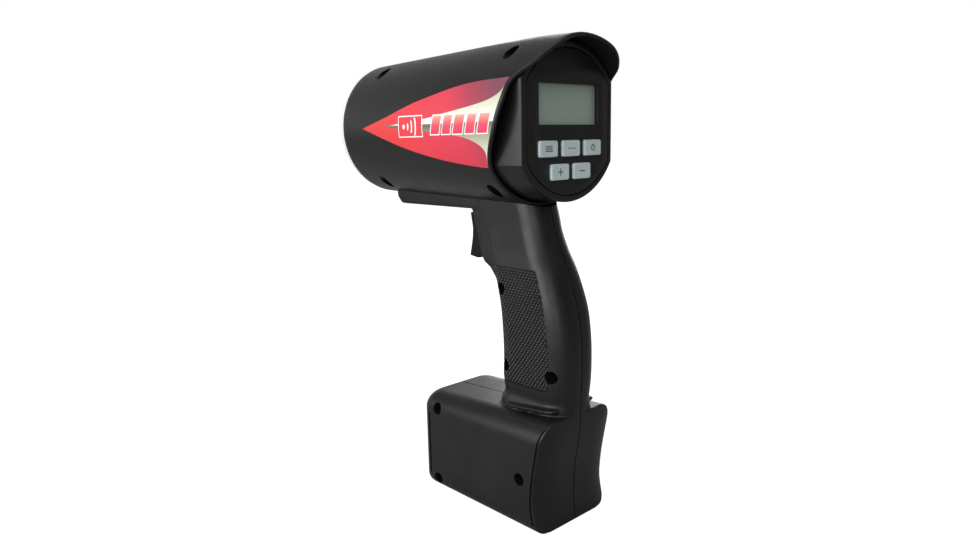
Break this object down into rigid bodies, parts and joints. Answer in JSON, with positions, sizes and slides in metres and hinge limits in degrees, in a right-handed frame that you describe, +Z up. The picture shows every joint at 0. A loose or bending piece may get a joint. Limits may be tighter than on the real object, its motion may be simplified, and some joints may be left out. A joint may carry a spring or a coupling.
{
  "type": "hand-held speed measuring gun",
  "caption": "Hand-held cordless speed measuring gun: tapered barrel with hooded display and keys, pistol grip with trigger, and a boxy battery base that it stands on.",
  "frame": {"origin": "middle of the bounding box of the object, on the plane its base stands on", "axes": "+Z up, +Y along the beam away from the user, +X to the user's right"},
  "size_m": [0.1026, 0.198, 0.3068],
  "materials": {
    "black_housing": "fine spark-eroded grain, satin",
    "lens_white": "smooth, slightly glossy",
    "key_grey": "satin silicone",
    "display_glass": "clear, polished",
    "rubber": "matt",
    "circuit_board": "solder mask",
    "aluminium": "machined",
    "steel": "drawn wire and turned pin",
    "black_steel": "black zinc",
    "cell_wrap": "shrink film",
    "wire": "insulated lead"
  },
  "bodies": {
    "body": {"antenna_ring": "black_housing", "barrel_left_shell": "black_housing", "barrel_right_shell": "black_housing", "barrel_screw_1": "black_steel", "barrel_screw_2": "black_steel", "barrel_screw_3": "black_steel", "barrel_screw_4": "black_steel", "base_screw_1": "black_steel", "base_screw_2": "black_steel", "base_screw_3": "black_steel", "battery_board": "circuit_board", "battery_cell_1": "cell_wrap", "battery_cell_2": "cell_wrap", "battery_cell_3": "cell_wrap", "battery_cell_4": "cell_wrap", "battery_cell_5": "cell_wrap", "battery_cell_6": "cell_wrap", "battery_tray": "black_housing", "display_board": "circuit_board", "display_module": "circuit_board", "display_window": "display_glass", "face_plate": "black_housing", "front_lens": "lens_white", "grip_screw_1": "black_steel", "grip_screw_2": "black_steel", "grip_screw_3": "black_steel", "handle_left_shell": "black_housing", "handle_right_shell": "black_housing", "horn_antenna": "aluminium", "keypad_mat": "rubber", "lens_gasket": "rubber", "microwave_module": "aluminium", "power_lead": "wire", "processor_board": "circuit_board", "rear_housing": "black_housing", "sounder": "black_housing", "trigger_pin": "steel", "trigger_spring": "steel", "trigger_switch": "black_housing"},
    "trigger": {"trigger": "black_housing"},
    "switch_plunger": {"switch_plunger": "key_grey"},
    "key_lower_left": {"key_lower_left": "key_grey"},
    "key_lower_right": {"key_lower_right": "key_grey"},
    "key_upper_left": {"key_upper_left": "key_grey"},
    "key_upper_middle": {"key_upper_middle": "key_grey"},
    "key_upper_right": {"key_upper_right": "key_grey"}
  },
  "joints": [
    {"name": "trigger_pull", "type": "hinge", "parent": "body", "child": "trigger", "pos_m": [0, -0.015, 0.1955], "axis": [-1, 0, 0], "range_deg": [0, 12], "stiffness_Nm_per_rad": 0.4, "springref_deg": -8.59},
    {"name": "plunger_press", "type": "slide", "parent": "body", "child": "switch_plunger", "axis": [0, -1, 0], "range_m": [0, 0.001]},
    {"name": "key_lower_left_press", "type": "slide", "parent": "body", "child": "key_lower_left", "axis": [0, 1, 0], "range_m": [0, 0.0008], "stiffness_N_per_m": 1200, "springref_m": -0.0004},
    {"name": "key_lower_right_press", "type": "slide", "parent": "body", "child": "key_lower_right", "axis": [0, 1, 0], "range_m": [0, 0.0008], "stiffness_N_per_m": 1200, "springref_m": -0.0004},
    {"name": "key_upper_left_press", "type": "slide", "parent": "body", "child": "key_upper_left", "axis": [0, 1, 0], "range_m": [0, 0.0008], "stiffness_N_per_m": 1200, "springref_m": -0.0004},
    {"name": "key_upper_middle_press", "type": "slide", "parent": "body", "child": "key_upper_middle", "axis": [0, 1, 0], "range_m": [0, 0.0008], "stiffness_N_per_m": 1200, "springref_m": -0.0004},
    {"name": "key_upper_right_press", "type": "slide", "parent": "body", "child": "key_upper_right", "axis": [0, 1, 0], "range_m": [0, 0.0008], "stiffness_N_per_m": 1200, "springref_m": -0.0004}
  ],
  "couplings": [
    {"joint": "plunger_press", "follows": "trigger_pull", "m_per_rad": 0.0047}
  ]
}
